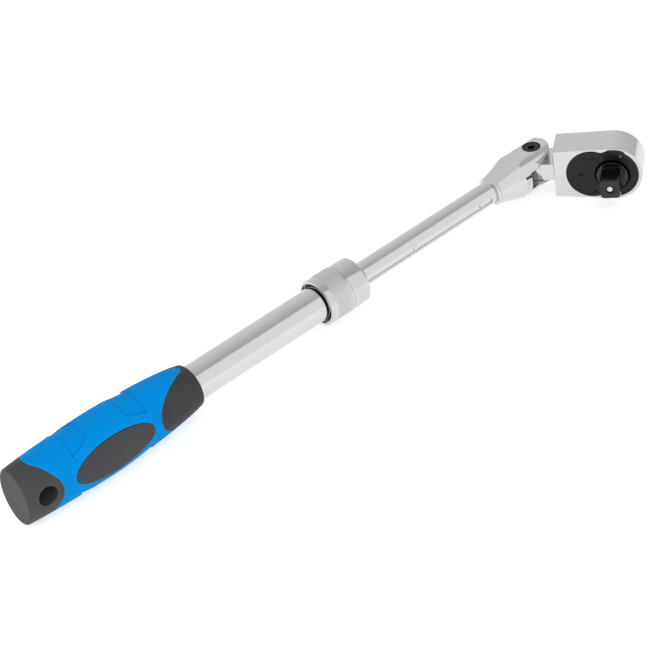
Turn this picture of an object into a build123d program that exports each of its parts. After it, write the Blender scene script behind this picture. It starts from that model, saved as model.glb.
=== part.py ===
from build123d import *
import os
from math import asin, atan2, cos, degrees, hypot, pi, radians, sin, sqrt

# A telescopic flex-head ratchet handle with a half-inch square drive.
# It is modelled with the flex pivot at the origin, the handle along -X, the pivot axis along Z
# and the drive side facing -Y, then moved so that the origin is the bottom centre of its box.
# Head parts are drawn in head axes (l, w, d): l along the head, w along the pivot axis and
# d out of the drive side, and then turned to the flex angle.

# ---- driving dimensions, millimetres and degrees ----
FIT = 0.05                      # radial clearance of every running fit
DRIVE_SQUARE = 12.7             # half-inch male drive
FLEX_ANGLE = 53.0               # head bent this far towards the drive side

SHAFT_R = 8.0                   # sliding inner shaft
TUBE_R = 11.8                   # outer tube
TUBE_BORE_R = 9.3
COLLAR_R = 15.8                 # lock collar

BUTT_X = -430.6                 # rear end of the grip
GRIP_FRONT_X = -297.5
COLLAR_REAR_X = -194.5
COLLAR_FRONT_X = -161.5
TUBE_REAR_X = -409.0
TUBE_FRONT_X = -170.4
SHAFT_REAR_X = -208.0
RING_REAR_X = -41.4             # step ring at the root of the yoke
STOP_PITCH = 59.5               # spacing of the shaft's locking dimples
LOCK_X = -174.3                 # plane of the lock ball

GROOVE_HALF = 2.1               # lengthwise shaft groove, half width
GROOVE_FLOOR = 6.8              # its floor, from the shaft axis
LOCK_BALL_R = 2.45
COLLAR_TRAVEL = 4.0             # pull-back that frees the lock ball
BALL_LIFT = 1.3                 # how far the lock ball rises over that travel

HOLE_X = -416.8                 # hanging hole through the grip
HOLE_R = 6.5
PAD_X = -367.2                  # middle of the oval side pads
PAD_HALF_LENGTH = 29.5
PAD_HALF_WIDTH = 12.4
PAD_DEPTH = 1.6
PAD_PROUD = 0.3                 # how far the pads stand out of the sleeve
SKIN = 2.6                      # thickness of the grip's outer mouldings
WINDOW_DEPTH = 0.8              # shallow finger windows across the narrow sides

HEAD_REAR = 15.5                # pivot to the rear face of the head block
DRIVE_L = 54.2                  # pivot to drive axis
HEAD_R = 19.6                   # round end of the head
HEAD_REAR_HALF = 17.4           # half width at the rear face
HEAD_FRONT = 12.7               # drive-side face, from the middle plane
HEAD_BACK = 12.6
TONGUE_R = 10.3                 # round end and half depth of the flex tongue
TONGUE_HALF = 6.0               # half thickness along the pivot axis
SLOT_HALF = 6.25
EAR_TOP = 13.6                  # flat outer faces of the yoke ears
EAR_R = 11.5
YOKE_R = 15.1
SLOT_ROOT_X = -15.6

GEAR_R = 13.0
GEAR_TEETH = 36
GEAR_DEPTH = 1.1
POCKET_FLOOR = -7.0             # floor of the ratchet pocket
PLATE_SEAT = 10.0               # underside of the cover plate
PLATE_FACE = 13.6
PLATE_RAISED = 14.2
PLATE_REAR_L = 40.7             # centre of the plate's rear lobe
PLATE_REAR_R = 17.0
PLATE_DRIVE_R = 17.0
ANVIL_JOURNAL_R = 10.25
ANVIL_REAR_R = 8.0
ANVIL_FACE = 15.4               # shoulder that the square stands on
DRIVE_TIP = 31.6                # end of the square
DRIVE_TURN = 2.6                # how the square is turned about its axis
SELECTOR_L = 33.3               # selector spindle
SELECTOR_TILT = 25.0            # lever angle at rest, each side of centre
PAWL_TILT = 4.5                 # pawl angle at rest, each side of centre
PAWL_OUTER_R = 17.0
SCREW_L = 42.2                  # cover screws
SCREW_W = 12.6

ROD_R = 2.25                    # quick-release rod
BALL_R = 2.4                    # socket-holding ball
BALL_D = 25.4
BALL_C = 4.66                   # ball centre from the drive axis
BUTTON_TRAVEL = 2.5
BALL_DROP = 0.7                 # how far the ball sinks over that travel
BUTTON_R = 5.2


# ---- small helpers ----
def along_x(radius, x_low, x_high):
    """A cylinder about the handle axis."""
    middle = (x_low + x_high) / 2
    return Pos(middle, 0, 0) * Rot(Y=90) * Cylinder(radius, x_high - x_low)


def tube_x(outer, inner, x_low, x_high):
    return along_x(outer, x_low, x_high) - along_x(inner, x_low - 1, x_high + 1)


def turned(points):
    """A solid of revolution about the handle axis from (x, radius) points."""
    profile = make_face(Polyline(*[(x, r, 0) for x, r in points], close=True))
    return revolve(profile, Axis.X)


def disc(radius, low, high, at=(0, 0)):
    """A cylinder along +Z of the local axes."""
    return Pos(at[0], at[1], (low + high) / 2) * Cylinder(radius, high - low)


def slab(x_low, x_high, y_low, y_high, z_low, z_high):
    size = (x_high - x_low, y_high - y_low, z_high - z_low)
    centre = ((x_high + x_low) / 2, (y_high + y_low) / 2, (z_high + z_low) / 2)
    return Pos(*centre) * Box(*size)


def coil(radius, wire_r, height, turns):
    """A compression spring standing on local Z = 0."""
    rise = height - 2 * wire_r
    path = Helix(rise / turns, rise, radius)
    start = path @ 0
    section = Plane(origin=start, z_dir=path % 0) * Circle(wire_r)
    return Pos(0, 0, wire_r) * sweep(section, path, is_frenet=True)


def head_place(shape):
    """From head axes (l, w, d) to the tool at its flex angle."""
    return Rot(Z=-FLEX_ANGLE) * (Plane.XZ.location * shape)


# ---- grip ----
# Along its length: half width (Y), half height (Z) and how squared its section is (2 is an ellipse).
GRIP_STATIONS = [
    (BUTT_X, 14.0, 20.0, 2.0),
    (-425.0, 14.6, 20.4, 2.05),
    (-415.0, 15.3, 20.4, 2.2),
    (-400.0, 16.1, 20.6, 2.3),
    (-385.0, 16.6, 20.7, 2.4),
    (PAD_X, 17.0, 20.85, 2.4),
    (-355.0, 16.6, 20.5, 2.4),
    (-345.0, 16.2, 20.0, 2.35),
    (-335.0, 15.9, 19.5, 2.3),
    (-325.0, 15.4, 18.8, 2.25),
    (-315.0, 14.9, 17.8, 2.15),
    (-305.0, 14.5, 16.1, 2.05),
    (GRIP_FRONT_X, 13.9, 13.9, 2.0),
]
BUTT_ROUND = 1.3


def grip_section(x, half_y, half_z, squareness):
    """A rounded-square closed curve across the handle."""
    points = []
    count = 24
    for i in range(count):
        a = 2 * pi * i / count
        reach = (abs(cos(a)) ** squareness + abs(sin(a)) ** squareness) ** (-1 / squareness)
        points.append((x, half_y * reach * cos(a), half_z * reach * sin(a)))
    return make_face(Spline(*points, periodic=True))


def grip_body(inset=0.0):
    sections = []
    for x, half_y, half_z, squareness in GRIP_STATIONS:
        sections.append(grip_section(x, half_y - inset, half_z - inset, squareness))
    return loft(sections)


def rounded_grip():
    """The grip with a rounded butt edge and a turned rounding at its mouth."""
    body = grip_body()
    body = fillet(body.edges().group_by(Axis.X)[0], BUTT_ROUND)
    mouth = [
        (BUTT_X - 10, 0),
        (BUTT_X - 10, 40.0),
        (GRIP_FRONT_X - 12.0, 40.0),
        (GRIP_FRONT_X - 1.6, 14.7),
        (GRIP_FRONT_X - 0.8, 13.8),
        (GRIP_FRONT_X - 0.3, 13.1),
        (GRIP_FRONT_X - 0.05, 12.4),
        (GRIP_FRONT_X - 0.05, 0),
    ]
    return body & turned(mouth)


def cap_region():
    """Everything behind a rounded arrowhead curve, right through the grip along Y."""
    side = [(-4.0, 22.0), (-2.2, 20.0), (2.3, 16.9), (5.8, 12.5), (9.0, 7.4), (10.3, 4.0), (10.8, 0.0)]
    upper = [(HOLE_X + dx, z) for dx, z in side]
    lower = [(x, -z) for x, z in reversed(upper[:-1])]
    points = upper + lower
    x_far = BUTT_X - 10
    first, last = points[0], points[-1]
    back = Polyline(last, (x_far, last[1]), (x_far, first[1]), first)
    face = Plane.XZ * make_face(Spline(*points) + back)
    return extrude(face, amount=30, both=True)


def nose_region():
    """Everything ahead of two slanting planes that meet in a blunt point at the top and bottom."""
    apex_x, apex_y = -303.6, 2.6
    slope = 2.15
    reach_y = 25.0
    rear_x = apex_x - slope * (reach_y - apex_y)
    far_x = GRIP_FRONT_X + 10
    outline = Polyline(
        (far_x, -reach_y),
        (rear_x, -reach_y),
        (apex_x, -apex_y),
        (apex_x + 1.6, 0),
        (apex_x, apex_y),
        (rear_x, reach_y),
        (far_x, reach_y),
        close=True,
    )
    return extrude(make_face(outline), amount=30, both=True)


def window_columns():
    """Plan shapes of the four finger windows, two over the top and two underneath."""
    rear = [(-394.4, 13.4), (-387.6, 12.5), (-381.0, 10.3), (-379.5, 8.6)]
    front = [(-353.3, 11.0), (-351.6, 11.6), (-345.0, 12.9), (-339.2, 13.4)]
    columns = []
    for side in (rear, front):
        outline = side + [(x, -y) for x, y in reversed(side)]
        columns.append(extrude(make_face(Polyline(*outline, close=True)), amount=30, both=True))
    return columns[0] + columns[1]


def hanging_hole():
    return Pos(HOLE_X, 0, 0) * Rot(X=90) * Cylinder(HOLE_R, 60)


def pad_column(grow=0.0):
    face = Plane.XZ * (Pos(PAD_X, 0) * Ellipse(PAD_HALF_LENGTH + grow, PAD_HALF_WIDTH + grow))
    return extrude(face, amount=30, both=True)


def grip_parts():
    bore = along_x(TUBE_R, TUBE_REAR_X, GRIP_FRONT_X + 10)
    body = rounded_grip() - bore
    inner = grip_body(inset=SKIN)
    inner = inner & slab(TUBE_REAR_X - 1, GRIP_FRONT_X - 12, -30, 30, -30, 30)
    skin = body - inner
    pads = (grip_body(inset=-PAD_PROUD) - grip_body(inset=PAD_DEPTH)) & pad_column()
    cap = (skin & cap_region()) - hanging_hole()
    nose = skin & nose_region()
    sleeve = skin - cap_region() - nose_region()
    sleeve -= pad_column(grow=0.2) - grip_body(inset=PAD_DEPTH)
    sleeve -= window_columns() - grip_body(inset=WINDOW_DEPTH)
    return {
        "grip_core": inner - bore,
        "grip_sleeve": sleeve,
        "grip_end_cap": cap,
        "grip_nose": nose,
        "grip_pads": Compound(children=list(pads.solids())),
    }


# ---- outer tube and lock collar ----
SEAT_LOW, SEAT_HIGH = -191.0, -189.6     # spring seat ring on the tube
LAND_REAR = -181.5                       # rear face of the collar's sliding land
CHAMBER_R = 13.7                         # spring chamber in the collar
UNLOCK_R = 13.3                          # room for the risen ball
FRONT_WALL = -166.2                      # inner side of the collar's front wall


def ball_passage():
    return Pos(LOCK_X, -TUBE_R, 0) * Rot(X=90) * Cylinder(LOCK_BALL_R + FIT, 2 * TUBE_R - 9)


def handle_tube():
    tube = tube_x(TUBE_R, TUBE_BORE_R, TUBE_REAR_X, TUBE_FRONT_X)
    tube -= tube_x(TUBE_R + 1, TUBE_R - 0.6, SEAT_LOW, SEAT_HIGH)
    return tube - ball_passage()


def guide_bush():
    """Front bearing of the shaft, with the key that keeps the shaft from turning."""
    low = -200.0
    bush = tube_x(TUBE_BORE_R, SHAFT_R + FIT, low, TUBE_FRONT_X)
    key = slab(low, low + 20, -SHAFT_R - 0.6, -GROOVE_FLOOR - 0.15, -GROOVE_HALF + FIT, GROOVE_HALF - FIT)
    return bush + key - ball_passage()


def spring_seat_ring():
    return tube_x(13.3, TUBE_R - 0.6, SEAT_LOW, SEAT_HIGH)


def collar_spring():
    spring = coil(12.75, 0.55, LAND_REAR - SEAT_HIGH - 0.1, 2.5)
    return Pos(SEAT_HIGH + 0.05, 0, 0) * Rot(Y=90) * spring


CLIP_LOW, CLIP_HIGH = SEAT_LOW - 1.3, SEAT_LOW - 0.1


def lock_collar():
    ramp_end = LOCK_X + (UNLOCK_R - TUBE_R - 0.15) * COLLAR_TRAVEL / BALL_LIFT
    outside = [
        (COLLAR_REAR_X, CHAMBER_R),
        (COLLAR_REAR_X, COLLAR_R - 0.8),
        (COLLAR_REAR_X + 0.8, COLLAR_R),
        (-177.0, COLLAR_R),
        (-176.6, COLLAR_R - 0.5),
        (-176.0, COLLAR_R - 0.5),
        (-175.6, COLLAR_R),
        (COLLAR_FRONT_X - 2.4, COLLAR_R),
        (COLLAR_FRONT_X - 1.2, COLLAR_R - 0.3),
        (COLLAR_FRONT_X - 0.4, COLLAR_R - 0.9),
        (COLLAR_FRONT_X, COLLAR_R - 1.9),
    ]
    inside = [
        (COLLAR_FRONT_X, SHAFT_R + 0.35),
        (FRONT_WALL, SHAFT_R + 0.35),
        (FRONT_WALL, UNLOCK_R),
        (ramp_end, UNLOCK_R),
        (LOCK_X, TUBE_R + 0.15),
        (LOCK_X - 0.3, TUBE_R + FIT),
        (LAND_REAR, TUBE_R + FIT),
        (LAND_REAR, CHAMBER_R),
        (CLIP_HIGH, CHAMBER_R),
        (CLIP_HIGH, CHAMBER_R + 0.6),
        (CLIP_LOW, CHAMBER_R + 0.6),
        (CLIP_LOW, CHAMBER_R),
    ]
    return turned(outside + inside)


def collar_clip():
    """Internal circlip in the collar's rear mouth, split on its lower side."""
    ring = tube_x(CHAMBER_R + 0.6, 12.3, CLIP_LOW, CLIP_HIGH)
    return ring - slab(CLIP_LOW - 1, CLIP_HIGH + 1, -1.8, 1.8, -20, 0)


def lock_ball():
    return Pos(LOCK_X, -(GROOVE_FLOOR + 0.07 + LOCK_BALL_R), 0) * Sphere(LOCK_BALL_R)


# ---- shaft and yoke ----
YOKE_SOCKET_X = -26.0
PLUNGER_R = 2.4
END_RING_LOW = SHAFT_REAR_X + 2.0


def inner_shaft():
    shaft = along_x(SHAFT_R, SHAFT_REAR_X, YOKE_SOCKET_X)
    groove = slab(SHAFT_REAR_X - 1, -46.0, -SHAFT_R - 1, -GROOVE_FLOOR, -GROOVE_HALF, GROOVE_HALF)
    shaft -= groove
    shaft -= tube_x(SHAFT_R + 1, SHAFT_R - 0.8, END_RING_LOW, END_RING_LOW + 2)
    for i in range(3):
        centre_x = LOCK_X + i * STOP_PITCH
        shaft -= Pos(centre_x, -GROOVE_FLOOR - 1.7, 0) * Sphere(2.6)
    shaft -= along_x(PLUNGER_R + FIT, -36.0, YOKE_SOCKET_X + 1)
    return shaft


def shaft_end_ring():
    ring = tube_x(TUBE_BORE_R - FIT, SHAFT_R - 0.8, END_RING_LOW, END_RING_LOW + 2)
    return ring - slab(END_RING_LOW - 1, END_RING_LOW + 3, -20, 0, -GROOVE_HALF, GROOVE_HALF)


def ear_outline():
    """The yoke seen along the pivot axis."""
    end = Circle(EAR_R)
    root = Pos(-27, 0) * Rectangle(26, 2 * YOKE_R)
    return make_hull(end.edges() + root.edges())


def yoke():
    body = turned(
        [
            (RING_REAR_X, 0),
            (RING_REAR_X, 9.5),
            (RING_REAR_X + 0.5, 10.0),
            (RING_REAR_X + 1.5, 10.0),
            (RING_REAR_X + 1.7, 9.6),
            (RING_REAR_X + 2.1, 9.6),
            (RING_REAR_X + 2.3, 10.1),
            (RING_REAR_X + 3.4, 10.3),
            (-34.5, 11.0),
            (-30.0, 12.2),
            (-25.0, 13.9),
            (-20.5, YOKE_R),
            (EAR_R + 2, YOKE_R),
            (EAR_R + 2, 0),
        ]
    )
    outline = extrude(ear_outline(), amount=20, both=True) & slab(-50, 20, -20, 20, -EAR_TOP, EAR_TOP)
    body &= outline + along_x(YOKE_R + 2, RING_REAR_X - 1, -30)
    for side in (1, -1):
        facet = make_face(Polyline((-42, 7.6), (-42, 20), (-15, 20), (-15, EAR_TOP + 0.4), close=True))
        cutter = extrude(Plane.XZ * facet, amount=20, both=True)
        body -= cutter if side == 1 else mirror(cutter, Plane.XY)
    slot = slab(SLOT_ROOT_X, 20, -20, 20, -SLOT_HALF, SLOT_HALF)
    body -= slot
    body -= along_x(SHAFT_R, RING_REAR_X - 1, YOKE_SOCKET_X)
    body -= along_x(PLUNGER_R + FIT, YOKE_SOCKET_X - 1, SLOT_ROOT_X + 1)
    body -= disc(PIVOT_HEAD_R + 0.15, PIVOT_HEAD_LOW, EAR_TOP + 5)
    body -= disc(PIVOT_R, -EAR_TOP - 1, EAR_TOP)
    return body


PIVOT_R = 4.0
PIVOT_HEAD_R = 6.1
PIVOT_HEAD_LOW = 10.2
PIVOT_HEAD_TOP = 13.1


def star_socket(radius, low, high):
    """Six-lobed driver socket along local Z."""
    lobes = disc(radius * 0.78, low, high)
    for i in range(6):
        a = i * pi / 3
        lobes += disc(radius * 0.26, low, high, at=(radius * 0.74 * cos(a), radius * 0.74 * sin(a)))
    return lobes


def pivot_screw():
    screw = disc(PIVOT_R, -EAR_TOP + 0.6, PIVOT_HEAD_LOW)
    head = disc(PIVOT_HEAD_R, PIVOT_HEAD_LOW, PIVOT_HEAD_TOP)
    head = chamfer(head.edges().group_by(Axis.Z)[-1], 0.5)
    return screw + head - star_socket(2.9, PIVOT_HEAD_TOP - 2.2, PIVOT_HEAD_TOP + 1)


PLUNGER_TIP_X = -TONGUE_R - 0.15
PLUNGER_REAR_X = -27.5


def flex_plunger():
    body = along_x(PLUNGER_R, PLUNGER_REAR_X, PLUNGER_TIP_X - 1.6)
    body += Pos(PLUNGER_TIP_X - 1.6, 0, 0) * Rot(Y=90) * Cone(PLUNGER_R, 0.8, 3.2)
    return body & along_x(PLUNGER_R, PLUNGER_REAR_X, PLUNGER_TIP_X)


def flex_spring():
    spring = coil(1.75, 0.4, PLUNGER_REAR_X + 36.0 - 0.1, 5)
    return Pos(-35.95, 0, 0) * Rot(Y=90) * spring


# ---- head, in head axes (l, w, d) ----
def head_outline():
    rear = Line((HEAD_REAR, -HEAD_REAR_HALF), (HEAD_REAR, HEAD_REAR_HALF))
    end = Pos(DRIVE_L, 0) * Circle(HEAD_R)
    return make_hull(rear.edges() + end.edges())


def side_facets():
    """Shallow planes that thin the head's sides towards the drive side."""
    a = Vector(16.6, 17.45, -2.8)
    b = Vector(51.0, 19.45, 8.0)
    c = Vector(HEAD_REAR, 16.9, HEAD_FRONT)
    normal = (b - a).cross(c - a).normalized()
    if normal.Y < 0:
        normal = -normal
    cutter = Plane(origin=a, z_dir=normal) * Pos(0, 0, 10) * Box(200, 200, 20)
    return cutter, mirror(cutter, Plane.XZ)


def tongue():
    arm = slab(0, HEAD_REAR + 2, -TONGUE_HALF, TONGUE_HALF, -TONGUE_R, TONGUE_R)
    arm += Rot(X=90) * Cylinder(TONGUE_R, 2 * TONGUE_HALF)
    for i in range(13):
        a = radians(90 + 15 * i)
        at = (TONGUE_R + 0.35) * cos(a), (TONGUE_R + 0.35) * sin(a)
        arm -= Pos(at[0], 0, at[1]) * Rot(X=90) * Cylinder(0.95, 2 * TONGUE_HALF + 2)
    return arm - Rot(X=90) * Cylinder(PIVOT_R + FIT, 2 * TONGUE_HALF + 2)


def plate_outline(grow=0.0):
    rear = Pos(PLATE_REAR_L, 0) * Circle(PLATE_REAR_R + grow)
    drive = Pos(DRIVE_L, 0) * Circle(PLATE_DRIVE_R + grow)
    return rear + drive


def sector(radius, half_angle, low, high):
    """A pie piece about the drive axis, open towards the pivot."""
    reach = radius * 2
    a = radians(180 - half_angle)
    corner = (reach * cos(a), reach * sin(a))
    wedge = make_face(Polyline((0, 0), corner, (corner[0], -corner[1]), close=True))
    pie = extrude(wedge & Circle(radius), amount=high - low)
    return Pos(DRIVE_L, 0, low) * pie


def ratchet_head():
    block = extrude(head_outline(), amount=HEAD_BACK + HEAD_FRONT)
    block = Pos(0, 0, -HEAD_BACK) * block
    back_edges = block.faces().sort_by(Axis.Z)[0].edges()
    block = fillet(back_edges, 4.0)
    front_edges = block.faces().sort_by(Axis.Z)[-1].edges()
    block = fillet(front_edges, 0.7)
    for cutter in side_facets():
        block -= cutter
    block -= Pos(0, 0, PLATE_SEAT) * extrude(plate_outline(0.1), amount=20)
    block -= disc(GEAR_R + 0.6, POCKET_FLOOR, PLATE_SEAT + 1, at=(DRIVE_L, 0))
    block -= sector(PAWL_OUTER_R + 0.15, 37, POCKET_FLOOR, PLATE_SEAT + 1)
    block -= disc(5.2, POCKET_FLOOR, PLATE_SEAT + 1, at=(SELECTOR_L, 0))
    block -= disc(SPINDLE_R + FIT, -20, 0, at=(SELECTOR_L, 0))
    block -= disc(LEVER_R + 0.3, -20, LEVER_FLOOR, at=(SELECTOR_L, 0))
    block -= disc(ANVIL_REAR_R + FIT, -20, 0, at=(DRIVE_L, 0))
    for w in (SCREW_W, -SCREW_W):
        block -= disc(COVER_SCREW_R, 2.0, PLATE_SEAT + 1, at=(SCREW_L, w))
    return block + tongue()


COVER_SCREW_R = 1.4
COVER_HEAD_R = 1.95
PIN_AT = (DRIVE_L + 6.0, 14.3)


def cover_plate():
    plate = Pos(0, 0, PLATE_SEAT) * extrude(plate_outline(), amount=PLATE_FACE - PLATE_SEAT)
    raised = Pos(DRIVE_L, 0) * Circle(PLATE_DRIVE_R)
    raised &= Pos(DRIVE_L + 13, 0) * Rectangle(40, 60)
    raised += Pos(DRIVE_L, 0) * Circle(12.6)
    boss = Pos(0, 0, PLATE_FACE) * extrude(raised, amount=PLATE_RAISED - PLATE_FACE)
    boss = chamfer(boss.edges().group_by(Axis.Z)[-1], 0.3)
    plate += boss
    plate -= disc(ANVIL_JOURNAL_R + FIT, 0, 30, at=(DRIVE_L, 0))
    mouth = Cone(ANVIL_JOURNAL_R, ANVIL_JOURNAL_R + 1.6, 1.6)
    plate -= Pos(DRIVE_L, 0, PLATE_RAISED - 0.8 + 0.01) * mouth
    plate -= disc(SPINDLE_TIP_R + FIT, 0, 30, at=(SELECTOR_L, 0))
    plate -= disc(SPINDLE_TIP_R + 0.5, PLATE_FACE - 0.5, 30, at=(SELECTOR_L, 0))
    for w in (SCREW_W, -SCREW_W):
        plate -= disc(COVER_SCREW_R, 0, 30, at=(SCREW_L, w))
        plate -= disc(COVER_HEAD_R + 0.1, PLATE_FACE - 1.6, 30, at=(SCREW_L, w))
    return plate - disc(0.7, PLATE_SEAT - 1, 30, at=PIN_AT)


def cover_pin():
    return disc(0.7, PLATE_SEAT, PLATE_RAISED + 0.1, at=PIN_AT)


def cover_screws():
    screws = []
    for w in (SCREW_W, -SCREW_W):
        screw = disc(COVER_SCREW_R, 2.5, PLATE_FACE - 1.6, at=(SCREW_L, w))
        screw += disc(COVER_HEAD_R, PLATE_FACE - 1.6, PLATE_FACE - 0.2, at=(SCREW_L, w))
        screw -= Pos(SCREW_L, w, 0) * star_socket(1.1, PLATE_FACE - 1.2, PLATE_FACE + 1)
        screws.append(screw)
    return Compound(children=screws)


# ---- anvil, in head axes ----
def gear_teeth():
    points = []
    for i in range(2 * GEAR_TEETH):
        a = pi * i / GEAR_TEETH
        r = GEAR_R if i % 2 == 0 else GEAR_R - GEAR_DEPTH
        points.append((r * cos(a), r * sin(a)))
    return make_face(Polyline(*points, close=True))


def at_drive(shape):
    return Pos(DRIVE_L, 0, 0) * Rot(Z=DRIVE_TURN) * shape


def drive_anvil():
    low, high = POCKET_FLOOR + 0.2, PLATE_SEAT - 0.3
    anvil = Pos(0, 0, low) * extrude(gear_teeth(), amount=high - low)
    anvil += disc(ANVIL_JOURNAL_R, high, ANVIL_FACE)
    anvil += disc(ANVIL_REAR_R, -12.4, low)
    square = slab(
        -DRIVE_SQUARE / 2, DRIVE_SQUARE / 2, -DRIVE_SQUARE / 2, DRIVE_SQUARE / 2, ANVIL_FACE, DRIVE_TIP
    )
    square = chamfer(square.edges().filter_by(Axis.Z), 0.8)
    tip_cone = disc(ANVIL_JOURNAL_R, ANVIL_FACE, DRIVE_TIP - 2.4)
    tip_cone += Pos(0, 0, DRIVE_TIP - 1.2) * Cone(ANVIL_JOURNAL_R, ANVIL_JOURNAL_R - 2.6, 2.4)
    anvil += square & tip_cone
    anvil -= disc(ROD_R + FIT, -20, 40)
    anvil -= disc(3.0, DRIVE_TIP - 1.6, 40)
    anvil -= disc(BUTTON_R + FIT, -20, SPRING_FLOOR)
    anvil -= Pos(0, -6, BALL_D) * Rot(X=90) * Cylinder(BALL_R + FIT, 12)
    return anvil


BUTTON_INNER = -9.0
BUTTON_OUTER = -14.4
SPRING_FLOOR = -1.0


def release_button():
    cap = disc(BUTTON_R, BUTTON_OUTER, BUTTON_INNER)
    cap = fillet(cap.edges().group_by(Axis.Z)[0], 0.8)
    return cap - disc(ROD_R, BUTTON_INNER - 2.5, BUTTON_INNER + 1)


def release_rod():
    """Its cone lets the socket ball sink as the button is pushed."""
    slope = BALL_DROP / BUTTON_TRAVEL
    seat_r = 2.15
    run = 3.2
    neck_r = seat_r - slope * run
    points = [
        (0, BUTTON_INNER - 2.5),
        (ROD_R, BUTTON_INNER - 2.5),
        (ROD_R, BALL_D - run - 2.6),
        (neck_r, BALL_D - run - 1.6),
        (neck_r, BALL_D - run),
        (seat_r, BALL_D),
        (seat_r, BALL_D + 0.5),
        (ROD_R, BALL_D + 0.7),
        (ROD_R, DRIVE_TIP - 1.1),
        (ROD_R - 0.5, DRIVE_TIP - 0.6),
        (0, DRIVE_TIP - 0.6),
    ]
    profile = make_face(Polyline(*[(r, 0, d) for r, d in points], close=True))
    return revolve(profile, Axis.Z)


def release_spring():
    return Pos(0, 0, BUTTON_INNER + 0.05) * coil(3.9, 0.4, SPRING_FLOOR - BUTTON_INNER - 0.1, 4)


def drive_ball():
    return Pos(0, -BALL_C, BALL_D) * Sphere(BALL_R)


# ---- reversing lever and pawl, in head axes ----
SPINDLE_R = 3.2
SPINDLE_TIP_R = 2.2
LEVER_R = 8.2
LEVER_FLOOR = -11.2
LEVER_BACK = -13.8


def at_selector(shape):
    return Pos(SELECTOR_L, 0, 0) * Rot(Z=SELECTOR_TILT) * shape


def selector_spindle():
    spindle = disc(SPINDLE_R, LEVER_FLOOR - 0.1, PLATE_SEAT - 0.2)
    spindle += disc(SPINDLE_TIP_R, PLATE_SEAT - 0.2, PLATE_FACE - 0.3)
    spindle -= Pos(2, 0, 1.5) * Rot(Y=90) * Cylinder(1.25, 4.4)
    return spindle - star_socket(1.35, PLATE_FACE - 1.4, PLATE_FACE + 1)


def reversing_lever():
    """A round hub let into the back of the head, with a thumb bar across it."""
    hub = disc(LEVER_R, LEVER_BACK, LEVER_FLOOR - 0.1)
    hub = chamfer(hub.edges().group_by(Axis.Z)[0], 0.5)
    bar = slab(-LEVER_R + 0.8, LEVER_R + 3.6, -2.6, 2.6, LEVER_BACK - 2.6, LEVER_BACK)
    bar = fillet(bar.edges().filter_by(Axis.Z), 2.2)
    return hub + bar


def selector_plunger():
    pin = Pos(2.65, 0, 1.5) * Rot(Y=90) * Cylinder(1.2, 1.7)
    return fillet(pin.edges().group_by(Axis.X)[-1], 0.5)


def selector_spring():
    return Pos(-0.15, 0, 1.5) * Rot(Y=90) * coil(0.8, 0.2, 1.9, 3)


def pawl():
    """Crescent block behind the gear; its teeth stand just clear of the gear's tips."""
    low, high = POCKET_FLOOR + 0.2, PLATE_SEAT - 0.3
    block = sector(PAWL_OUTER_R, 31, low, high) - disc(GEAR_R + 0.15, low - 1, high + 1, at=(DRIVE_L, 0))
    for i in range(-6, 7):
        a = pi + 2 * pi * (i + 0.5) / GEAR_TEETH
        notch = Rot(Z=degrees(a)) * Pos(GEAR_R + 0.1, 0) * Rot(Z=45) * Rectangle(1.1, 1.1)
        block -= Pos(DRIVE_L, 0, low - 1) * extrude(notch, amount=high - low + 2)
    turn = Pos(DRIVE_L, 0, 0) * Rot(Z=-PAWL_TILT) * Pos(-DRIVE_L, 0, 0)
    return turn * block


# ---- assembly ----
def build():
    nodes = grip_parts()
    nodes["handle_tube"] = handle_tube()
    nodes["guide_bush"] = guide_bush()
    nodes["spring_seat_ring"] = spring_seat_ring()
    nodes["collar_spring"] = collar_spring()
    nodes["lock_collar"] = lock_collar()
    nodes["collar_clip"] = collar_clip()
    nodes["lock_ball"] = lock_ball()
    nodes["inner_shaft"] = inner_shaft()
    nodes["shaft_end_ring"] = shaft_end_ring()
    nodes["yoke"] = yoke()
    nodes["pivot_screw"] = pivot_screw()
    nodes["flex_plunger"] = flex_plunger()
    nodes["flex_spring"] = flex_spring()
    nodes["ratchet_head"] = head_place(ratchet_head())
    nodes["cover_plate"] = head_place(cover_plate())
    nodes["cover_pin"] = head_place(cover_pin())
    nodes["cover_screws"] = head_place(cover_screws())
    nodes["drive_anvil"] = head_place(at_drive(drive_anvil()))
    nodes["release_button"] = head_place(at_drive(release_button()))
    nodes["release_rod"] = head_place(at_drive(release_rod()))
    nodes["release_spring"] = head_place(at_drive(release_spring()))
    nodes["drive_ball"] = head_place(at_drive(drive_ball()))
    nodes["selector_spindle"] = head_place(at_selector(selector_spindle()))
    nodes["reversing_lever"] = head_place(at_selector(reversing_lever()))
    nodes["selector_plunger"] = head_place(at_selector(selector_plunger()))
    nodes["selector_spring"] = head_place(at_selector(selector_spring()))
    nodes["pawl"] = head_place(pawl())
    return nodes


def bottom_centre(nodes):
    boxes = [shape.bounding_box() for shape in nodes.values()]
    low = [min(tuple(b.min)[i] for b in boxes) for i in range(3)]
    high = [max(tuple(b.max)[i] for b in boxes) for i in range(3)]
    return (low[0] + high[0]) / 2, (low[1] + high[1]) / 2, low[2]


NODES = build()
ORIGIN = bottom_centre(NODES)

os.makedirs("parts", exist_ok=True)
for name, shape in NODES.items():
    moved = Pos(-ORIGIN[0], -ORIGIN[1], -ORIGIN[2]) * shape
    moved.label = name
    export_step(moved, f"parts/{name}.step")
print("tool origin is at", [round(-v, 3) for v in ORIGIN])
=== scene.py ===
import math
import bpy
from mathutils import Matrix, Vector
from mathutils.bvhtree import BVHTree


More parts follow.
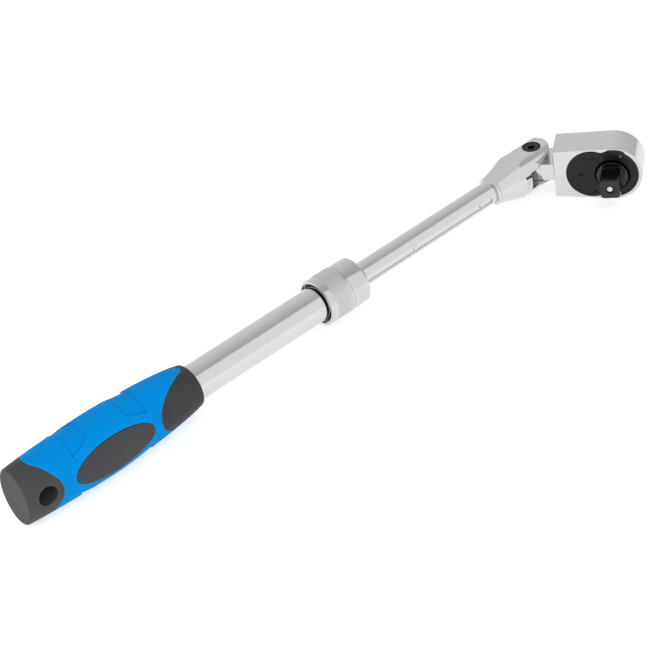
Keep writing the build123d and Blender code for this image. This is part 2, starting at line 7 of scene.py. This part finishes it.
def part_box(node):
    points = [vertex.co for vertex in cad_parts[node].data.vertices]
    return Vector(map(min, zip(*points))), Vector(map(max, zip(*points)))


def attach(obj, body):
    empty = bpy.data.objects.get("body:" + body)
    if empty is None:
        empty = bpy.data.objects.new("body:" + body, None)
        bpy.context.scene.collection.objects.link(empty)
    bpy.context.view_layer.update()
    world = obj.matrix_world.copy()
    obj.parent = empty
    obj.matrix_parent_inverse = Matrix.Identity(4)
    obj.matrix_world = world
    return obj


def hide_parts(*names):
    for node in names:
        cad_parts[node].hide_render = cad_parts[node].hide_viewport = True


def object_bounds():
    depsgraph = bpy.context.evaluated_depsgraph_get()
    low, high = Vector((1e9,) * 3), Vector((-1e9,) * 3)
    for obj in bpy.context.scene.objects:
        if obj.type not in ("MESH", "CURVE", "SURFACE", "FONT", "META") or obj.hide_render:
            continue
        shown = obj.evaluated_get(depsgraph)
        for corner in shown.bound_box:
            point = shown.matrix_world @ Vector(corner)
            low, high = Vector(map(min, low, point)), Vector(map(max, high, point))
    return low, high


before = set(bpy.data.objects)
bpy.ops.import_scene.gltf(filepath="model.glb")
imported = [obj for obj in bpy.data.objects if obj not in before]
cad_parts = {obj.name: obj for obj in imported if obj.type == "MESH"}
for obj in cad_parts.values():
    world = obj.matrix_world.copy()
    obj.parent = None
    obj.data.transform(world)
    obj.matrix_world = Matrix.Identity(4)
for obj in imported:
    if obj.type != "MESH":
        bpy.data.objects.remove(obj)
cad_box = [list(corner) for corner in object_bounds()]
MM = 0.001

# ---- the tool's own axes inside the row frame: x along the handle, pivot axis along z ----
tube_low, tube_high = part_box("handle_tube")
screw_low, screw_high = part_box("pivot_screw")
PIVOT = Vector((
    (screw_low.x + screw_high.x) / 2,
    (tube_low.y + tube_high.y) / 2,
    (tube_low.z + tube_high.z) / 2,
))


# ---- camera: a long lens, looking down at the drive side, from well in front of the tool ----
SENSOR_WIDTH = 36.0
LENS = 132.92
LENS_SHIFT = (0.00057, -0.00066)
CAMERA_ROLL = 0.0031
CAMERA_FROM_PIVOT = Vector((-0.90555, -0.99546, 0.87353))


def set_camera():
    data = bpy.data.cameras.new("camera")
    data.sensor_width = SENSOR_WIDTH
    data.lens = LENS
    camera = bpy.data.objects.new("camera", data)
    right = Vector((0.73763732, -0.65943452, -0.14504239))
    up = Vector((0.48339335, 0.36578967, 0.79531679))
    back = Vector((-0.47140433, -0.65676787, 0.58858637))
    cosine, sine = math.cos(CAMERA_ROLL), math.sin(CAMERA_ROLL)
    right, up = right * cosine + up * sine, up * cosine - right * sine
    data.shift_x, data.shift_y = LENS_SHIFT
    camera.matrix_world = Matrix((
        (right.x, up.x, back.x, PIVOT.x + CAMERA_FROM_PIVOT.x),
        (right.y, up.y, back.y, PIVOT.y + CAMERA_FROM_PIVOT.y),
        (right.z, up.z, back.z, PIVOT.z + CAMERA_FROM_PIVOT.z),
        (0, 0, 0, 1),
    ))
    data.clip_end = 50
    bpy.context.scene.collection.objects.link(camera)
    bpy.context.scene.camera = camera


# ---- studio ----
# How bright the surroundings are from front (0) to back (1) along the row's y axis.
SURROUNDINGS = [(0.0, 1.08), (0.27, 1.06), (0.33, 0.56), (0.45, 0.62), (0.75, 0.80), (1.0, 0.92)]
FLOOR_HALF = 6.0
FLOOR_CELLS = 24
FLOOR_GAP = 0.0005


def area_light(name, place, target, size, power, seen_in_mirror=True):
    data = bpy.data.lights.new(name, "AREA")
    data.shape = "RECTANGLE"
    data.size, data.size_y = size
    data.energy = power
    light = bpy.data.objects.new(name, data)
    light.location = place
    aim = Vector(target) - Vector(place)
    light.rotation_mode = "QUATERNION"
    light.rotation_quaternion = aim.to_track_quat("-Z", "Y")
    light.visible_glossy = seen_in_mirror
    bpy.context.scene.collection.objects.link(light)


def set_studio():
    world = bpy.data.worlds.new("studio")
    bpy.context.scene.world = world
    world.use_nodes = True
    tree = world.node_tree
    background = tree.nodes["Background"]
    background.inputs[1].default_value = 1.0
    place = tree.nodes.new("ShaderNodeTexCoord")
    split = tree.nodes.new("ShaderNodeSeparateXYZ")
    ramp = tree.nodes.new("ShaderNodeValToRGB")
    tree.links.new(place.outputs["Generated"], split.inputs[0])
    spread = tree.nodes.new("ShaderNodeMapRange")
    spread.inputs["From Min"].default_value = -1.0
    tree.links.new(split.outputs[1], spread.inputs[0])
    tree.links.new(spread.outputs[0], ramp.inputs[0])
    tree.links.new(ramp.outputs[0], background.inputs[0])
    # A bright front half and a greyer back half, with a fairly crisp edge between them.
    stops = ramp.color_ramp.elements
    while len(stops) < len(SURROUNDINGS):
        stops.new(0.5)
    for stop, (position, level) in zip(stops, SURROUNDINGS):
        stop.position = position
        stop.color = (level, level, level * 1.005, 1)
    area_light("key", (-0.5, -1.0, 1.3), (0.0, 0.0, 0.0), (1.0, 0.8), 8.0, False)
    area_light("fill", (-1.2, 0.1, 0.7), (-0.1, 0.0, 0.0), (0.7, 0.7), 4.5, False)
    bpy.context.scene.view_settings.view_transform = "Standard"


def set_floor():
    mesh = bpy.data.meshes.new("studio_floor")
    row = FLOOR_CELLS + 1
    marks = [FLOOR_HALF * (2 * i / FLOOR_CELLS - 1) for i in range(row)]
    points = [(x, y, 0.0) for x in marks for y in marks]
    faces = []
    for i in range(FLOOR_CELLS):
        for j in range(FLOOR_CELLS):
            a = i * row + j
            faces.append((a, a + row, a + row + 1, a + 1))
    mesh.from_pydata(points, [], faces)
    floor = bpy.data.objects.new("studio_floor", mesh)
    bpy.context.scene.collection.objects.link(floor)
    floor.location.z = cad_box[0][2] - FLOOR_GAP
    mesh.materials.append(floor_material())


# ---- materials ----
class Look:
    """One procedural material, built node by node."""

    def __init__(self, name):
        self.material = bpy.data.materials.new(name)
        self.material.use_nodes = True
        self.tree = self.material.node_tree
        self.shader = self.tree.nodes["Principled BSDF"]
        self.coordinates = self.tree.nodes.new("ShaderNodeTexCoord")

    def node(self, kind, **values):
        made = self.tree.nodes.new(kind)
        for key, value in values.items():
            setattr(made, key, value)
        return made

    def link(self, a, b):
        self.tree.links.new(a, b)

    def mapped(self, scale):
        mapping = self.node("ShaderNodeMapping")
        mapping.inputs["Scale"].default_value = scale
        self.link(self.coordinates.outputs["Object"], mapping.inputs["Vector"])
        return mapping.outputs[0]

    def noise(self, scale, detail=3.0, rough=0.5, stretch=(1, 1, 1)):
        noise = self.node("ShaderNodeTexNoise")
        noise.inputs["Scale"].default_value = scale
        noise.inputs["Detail"].default_value = detail
        noise.inputs["Roughness"].default_value = rough
        self.link(self.mapped(stretch), noise.inputs["Vector"])
        return noise.outputs["Fac"]

    def cells(self, scale):
        cells = self.node("ShaderNodeTexVoronoi")
        cells.inputs["Scale"].default_value = scale
        self.link(self.mapped((1, 1, 1)), cells.inputs["Vector"])
        return cells.outputs["Distance"]

    def ramp(self, source, stops):
        ramp = self.node("ShaderNodeValToRGB")
        marks = ramp.color_ramp.elements
        while len(marks) < len(stops):
            marks.new(0.5)
        for mark, (position, colour) in zip(marks, stops):
            mark.position = position
            level = colour if isinstance(colour, tuple) else (colour, colour, colour)
            mark.color = (*level, 1)
        self.link(source, ramp.inputs[0])
        return ramp.outputs[0]

    def edge_mask(self, radius, low, high):
        """White where the surface bends sharply."""
        bevel = self.node("ShaderNodeBevel", samples=6)
        bevel.inputs["Radius"].default_value = radius
        shape = self.node("ShaderNodeNewGeometry")
        dot = self.node("ShaderNodeVectorMath", operation="DOT_PRODUCT")
        self.link(bevel.outputs[0], dot.inputs[0])
        self.link(shape.outputs["Normal"], dot.inputs[1])
        return self.ramp(dot.outputs["Value"], [(low, 1.0), (high, 0.0)])

    def mix(self, mask, base, over):
        mix = self.node("ShaderNodeMix", data_type="RGBA")
        self.link(mask, mix.inputs[0])
        self.link(base, mix.inputs[6])
        self.link(over, mix.inputs[7])
        return mix.outputs[2]

    def bump(self, height, strength, distance, under=None):
        bump = self.node("ShaderNodeBump")
        bump.inputs["Strength"].default_value = strength
        bump.inputs["Distance"].default_value = distance
        self.link(height, bump.inputs["Height"])
        if under is not None:
            self.link(under, bump.inputs["Normal"])
        return bump.outputs[0]

    def soft_edges(self, radius):
        bevel = self.node("ShaderNodeBevel", samples=6)
        bevel.inputs["Radius"].default_value = radius
        return bevel.outputs[0]

    def colour(self, source):
        self.link(source, self.shader.inputs["Base Color"])

    def roughness(self, source):
        self.link(source, self.shader.inputs["Roughness"])

    def normal(self, source):
        self.link(source, self.shader.inputs["Normal"])


def chrome_look(name, level=0.635, rough=(0.05, 0.10), along=(1, 1, 1), edge=0.00022):
    """Bright plate: faint polishing lines, smudges, soft edges and a painted highlight along sharp edges."""
    look = Look(name)
    look.shader.inputs["Metallic"].default_value = 1.0
    cloud = look.noise(55.0, 4.0)
    plate = look.ramp(cloud, [
        (0.30, (level * 0.965, level * 0.975, level * 0.985)),
        (0.70, (level, level, level)),
    ])
    # Paler colour mixed in where the surface bends sharply: a painted highlight.
    painted_edge_highlight = [(0.3, min(level * 1.25, 0.95)), (0.7, min(level * 1.45, 0.98))]
    rim = look.ramp(look.noise(800.0, 2.0), painted_edge_highlight)
    look.colour(look.mix(look.edge_mask(edge * 1.4, 0.85, 0.99), plate, rim))
    haze = look.noise(140.0, 5.0, 0.6)
    look.roughness(look.ramp(haze, [(0.3, rough[0]), (0.75, rough[1])]))
    lines = look.noise(900.0, 2.0, 0.5, along)
    ripple = look.noise(110.0, 1.0)
    wavy = look.bump(ripple, 0.04, 0.0003, look.soft_edges(edge))
    look.normal(look.bump(lines, 0.03, 0.00005, wavy))
    return look.material


def moulding_look(name, dark, mid, light, rough, grain=0.22, grain_scale=2600.0, specular=0.3):
    """Satin moulded plastic or rubber: fine spark-eroded grain, faint mottling, and paler edges that are a
    painted highlight.
    """
    look = Look(name)
    cloud = look.noise(45.0, 5.0, 0.6)
    base = look.ramp(cloud, [(0.3, dark), (0.7, mid)])
    # Paler colour at sharp edges: a painted highlight, not a colour of the moulding.
    edge = look.edge_mask(0.0009, 0.82, 0.99)
    over = look.ramp(look.noise(700.0, 4.0), [(0.35, mid), (0.7, light)])
    look.colour(look.mix(edge, base, over))
    speck = look.noise(grain_scale, 2.0)
    look.roughness(look.ramp(speck, [(0.3, rough[0]), (0.7, rough[1])]))
    look.shader.inputs["IOR"].default_value = 1.46
    look.shader.inputs["Specular IOR Level"].default_value = specular
    pits = look.cells(grain_scale * 0.8)
    fine = look.bump(pits, grain, 0.00006, look.soft_edges(0.0005))
    look.normal(look.bump(speck, grain * 0.8, 0.00005, fine))
    return look.material


def black_steel_look(name, dark=0.008, light=0.014, rough=(0.26, 0.38), worn=0.16, metal=0.6):
    """Black-oxide steel, satin, with bright metal just showing at the edges."""
    look = Look(name)
    look.shader.inputs["Metallic"].default_value = metal
    cloud = look.noise(320.0, 6.0, 0.65)
    base = look.ramp(cloud, [(0.3, dark), (0.75, light)])
    edge = look.edge_mask(0.0003, 0.80, 0.985)
    over = look.ramp(look.noise(1500.0, 3.0), [(0.38, light), (0.62, worn)])
    look.colour(look.mix(edge, base, over))
    look.roughness(look.ramp(look.noise(500.0, 5.0), [(0.3, rough[0]), (0.75, rough[1])]))
    fine = look.bump(look.noise(3200.0, 2.0), 0.10, 0.00004, look.soft_edges(0.00025))
    look.normal(fine)
    return look.material


def bare_steel_look(name, low, high, rough, turned=(1, 1, 1), tint=(1.0, 1.0, 1.0)):
    """Uncoated metal with fine turning or grinding lines."""
    look = Look(name)
    look.shader.inputs["Metallic"].default_value = 1.0
    lines = look.noise(1600.0, 3.0, 0.6, turned)
    dark = tuple(low * c for c in tint)
    light = tuple(high * c for c in tint)
    look.colour(look.ramp(lines, [(0.3, dark), (0.7, light)]))
    look.roughness(look.ramp(look.noise(300.0, 4.0), [(0.3, rough[0]), (0.7, rough[1])]))
    look.normal(look.bump(lines, 0.08, 0.00004, look.soft_edges(0.0002)))
    return look.material


def floor_material():
    look = Look("studio_paper")
    paper = look.noise(9.0, 5.0)
    look.colour(look.ramp(paper, [(0.3, 0.55), (0.7, 0.57)]))
    look.roughness(look.ramp(look.noise(30.0), [(0.3, 0.85), (0.7, 0.95)]))
    look.shader.inputs["Specular IOR Level"].default_value = 0.1
    look.shader.inputs["Emission Color"].default_value = (1.0, 1.0, 1.0, 1.0)
    look.shader.inputs["Emission Strength"].default_value = 0.60
    return look.material


def dress(names, material):
    for name in names:
        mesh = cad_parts[name].data
        mesh.materials.clear()
        mesh.materials.append(material)


def smooth_by_angle(obj, angle):
    """Smooth shading, kept sharp where faces meet at more than the angle in degrees."""
    obj.data.shade_smooth()
    obj.data.set_sharp_from_angle(angle=math.radians(angle))


# ---- built pieces ----
def new_piece(name, points, faces, body, node, material):
    mesh = bpy.data.meshes.new(name)
    mesh.from_pydata([tuple(p) for p in points], [], faces)
    mesh.validate()
    piece = bpy.data.objects.new(name, mesh)
    bpy.context.scene.collection.objects.link(piece)
    mesh.materials.append(material)
    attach(piece, body)
    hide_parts(node)
    return piece


def lathe(rows, count, offset=None):
    """A closed ring about the tool axis from (x, radius) rows, millimetres from the pivot."""
    points, faces = [], []
    for i, (x, radius) in enumerate(rows):
        for j in range(count):
            a = 2 * math.pi * j / count
            r = radius + (offset(i, j) if offset else 0.0)
            points.append(PIVOT + MM * Vector((x, r * math.cos(a), r * math.sin(a))))
    total = len(rows)
    for i in range(total):
        k = (i + 1) % total
        for j in range(count):
            m = (j + 1) % count
            faces.append((i * count + j, i * count + m, k * count + m, k * count + j))
    return points, faces


def knurled_collar(material):
    """The lock collar with its diamond knurl cut for real."""
    low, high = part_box("lock_collar")
    rear = (low.x - PIVOT.x) / MM
    front = (high.x - PIVOT.x) / MM
    radius = (high.z - low.z) / 2 / MM
    land = (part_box("collar_spring")[1].x - PIVOT.x) / MM + 0.1
    tube = (tube_high.z - tube_low.z) / 2 / MM
    shaft = (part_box("inner_shaft")[1].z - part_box("inner_shaft")[0].z) / 2 / MM
    # Rear mouth and its rounded lip, then the plain band behind the knurl.
    rows = [(rear, 13.9), (rear, radius - 0.75), (rear + 0.15, radius - 0.38)]
    rows += [(rear + 0.45, radius - 0.1), (rear + 0.8, radius)]
    rows += [(rear + 4.6, radius), (rear + 4.9, radius - 0.25)]
    # The knurled band, one row to each quarter of a diamond.
    knurl_low, step, knurl_rows = rear + 5.2, 0.275, 44
    first = len(rows)
    rows += [(knurl_low + step * i, radius - 0.22) for i in range(knurl_rows + 1)]
    last = len(rows) - 1
    # Groove and plain front band, with a rounded front corner.
    end = knurl_low + step * knurl_rows
    rows += [(end + 0.3, radius - 0.25), (end + 0.6, radius), (end + 0.9, radius), (end + 1.1, radius - 0.4)]
    rows += [(end + 1.6, radius - 0.4), (end + 1.8, radius - 0.02), (end + 2.2, radius)]
    for i in range(7):
        a = math.radians(15 * i)
        rows.append((front - 2.2 + 2.2 * math.sin(a), radius - 1.9 + 1.9 * math.cos(a)))
    # The inside: shaft hole, room for the ball, the land on the tube, the spring's chamber, the clip's groove.
    rows += [(front, shaft + 0.75), (front - 0.35, shaft + 0.36), (front - 4.7, shaft + 0.36)]
    rows += [(front - 4.7, tube + 1.4), (front - 9.0, tube + 1.4)]
    rows += [(front - 13.0, tube + 0.06), (land, tube + 0.06), (land, 13.7)]
    rows += [(rear + 2.2, 13.7), (rear + 2.0, 13.95), (rear + 0.3, 13.95)]
    count = 360

    def diamond(i, j):
        """How far the point stands out: ridges where two slanting lines cross, pits between them."""
        if not first < i < last:
            return 0.0
        k = i - first
        up, down = (k + j) % 4, (k - j) % 4
        ridge = min(abs(up - 2), 1), min(abs(down - 2), 1)
        return 0.22 if sum(ridge) == 2 else (-0.12 if sum(ridge) == 0 else 0.02)

    points, faces = lathe(rows, count, diamond)
    collar = new_piece("lock_collar_knurled", points, faces, "collar", "lock_collar", material)
    smooth_by_angle(collar, 28)


def surface_hit(tree, x, z, side):
    """Where the side of the CAD pad lies at x, z, or None."""
    start = Vector((x, PIVOT.y + side * 0.05, z))
    hit = tree.ray_cast(start, Vector((0, -side, 0)))
    return hit[0].y if hit[0] is not None else None


PAD_FIT = 0.985     # share of the recess's width that a pad fills
PAD_BACK = 1.2      # how far behind its face a pad ends, mm


def grip_pads(material):
    """Two crowned oval pads with rounded rims, laid on the grip's own curve."""
    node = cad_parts["grip_pads"]
    tree = BVHTree.FromPolygons([v.co.copy() for v in node.data.vertices],
                                [tuple(p.vertices) for p in node.data.polygons])
    low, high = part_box("grip_pads")
    middle = (low + high) / 2
    half_x, half_z = (high.x - low.x) / 2, (high.z - low.z) / 2 * PAD_FIT
    rim = [(0.985, -0.02), (0.992, -0.07), (0.997, -0.15), (1.0, -0.27), (1.0, -0.6), (1.0, -1.1)]
    face = [(0.12 * i, 0.0) for i in range(1, 8)] + [(0.90, 0.0), (0.94, 0.0), (0.965, 0.0)]
    levels = face + rim
    count = 120
    for number, side in enumerate((-1, 1)):
        centre_y = surface_hit(tree, middle.x, middle.z, side)
        points = [Vector((middle.x, centre_y, middle.z))]
        for reach, drop in levels:
            for j in range(count):
                a = 2 * math.pi * j / count
                x = middle.x + half_x * reach * math.cos(a)
                z = middle.z + half_z * reach * math.sin(a)
                inner = min(reach, 0.975) / reach
                probe_x = middle.x + (x - middle.x) * inner
                probe_z = middle.z + (z - middle.z) * inner
                y = surface_hit(tree, probe_x, probe_z, side)
                points.append(Vector((x, y + side * drop * MM, z)))
        points.append(Vector((middle.x, centre_y - side * PAD_BACK * MM, middle.z)))
        faces = []
        for j in range(count):
            m = (j + 1) % count
            faces.append((0, 1 + j, 1 + m))
            for i in range(len(levels) - 1):
                a, b = 1 + i * count, 1 + (i + 1) * count
                faces.append((a + j, b + j, b + m, a + m))
            last = 1 + (len(levels) - 1) * count
            faces.append((last + j, len(points) - 1, last + m))
        if side > 0:
            faces = [tuple(reversed(f)) for f in faces]
        name = f"grip_pad_{number + 1}"
        pad = new_piece(name, points, faces, "handle", "grip_pads", material)
        smooth_by_angle(pad, 50)


# ---- put it together ----
set_camera()
set_studio()
set_floor()

chrome = chrome_look("chrome_plate")
forged_chrome = chrome_look("chrome_forged", rough=(0.13, 0.19))
drawn_chrome = chrome_look("chrome_drawn", along=(0.02, 1, 1))
collar_chrome = chrome_look("chrome_collar", level=0.60, rough=(0.06, 0.12), edge=0.00008)
blue = moulding_look("blue_moulding", (0.0, 0.200, 0.56), (0.0, 0.222, 0.60), (0.01, 0.31, 0.74),
                     (0.46, 0.56), specular=0.03)
nose_black = moulding_look("black_moulding", (0.027, 0.026, 0.028), (0.033, 0.032, 0.034),
                           (0.07, 0.07, 0.072), (0.5, 0.62))
# The end cap is the same black moulding as the nose, made paler to stand in for the light it catches: painted
# light.
cap_black_painted_lighter = moulding_look("cap_moulding_painted_lighter", (0.038, 0.037, 0.039), (0.047, 0.046, 0.048),
                          (0.09, 0.09, 0.092), (0.5, 0.62))
pad_black = moulding_look("pad_rubber", (0.036, 0.036, 0.038), (0.043, 0.043, 0.045),
                          (0.08, 0.08, 0.082), (0.55, 0.66), 0.3, 2200.0)
core = moulding_look("core_plastic", (0.03, 0.03, 0.032), (0.045, 0.045, 0.048),
                     (0.07, 0.07, 0.07), (0.5, 0.6))
black_steel = black_steel_look("black_oxide")
anvil_steel = black_steel_look("black_oxide_polished", 0.034, 0.054, (0.14, 0.24), 0.25, 0.95)
bright = bare_steel_look("bright_steel", 0.58, 0.68, (0.14, 0.24))
spring = bare_steel_look("spring_wire", 0.30, 0.40, (0.28, 0.4))
gear = bare_steel_look("ground_steel", 0.24, 0.34, (0.3, 0.42))
brass = bare_steel_look("turned_brass", 0.8, 0.95, (0.25, 0.35), turned=(1, 0.2, 0.2),
                        tint=(0.90, 0.66, 0.30))

dress(["ratchet_head", "lock_collar"], chrome)
dress(["yoke"], forged_chrome)
dress(["handle_tube", "inner_shaft"], drawn_chrome)
dress(["grip_sleeve"], blue)
dress(["grip_nose"], nose_black)
dress(["grip_end_cap"], cap_black_painted_lighter)
dress(["grip_pads"], pad_black)
dress(["grip_core"], core)
dress(["spring_seat_ring", "collar_clip", "pivot_screw", "cover_screws", "cover_plate"], black_steel)
dress(["selector_spindle", "reversing_lever"], black_steel)
dress(["drive_anvil"], anvil_steel)
dress(["lock_ball", "flex_plunger", "cover_pin", "release_button"], bright)
dress(["release_rod", "drive_ball", "selector_plunger"], bright)
dress(["collar_spring", "flex_spring", "release_spring", "selector_spring"], spring)
dress(["shaft_end_ring"], spring)
dress(["pawl"], gear)
dress(["guide_bush"], brass)

knurled_collar(collar_chrome)
grip_pads(pad_black)
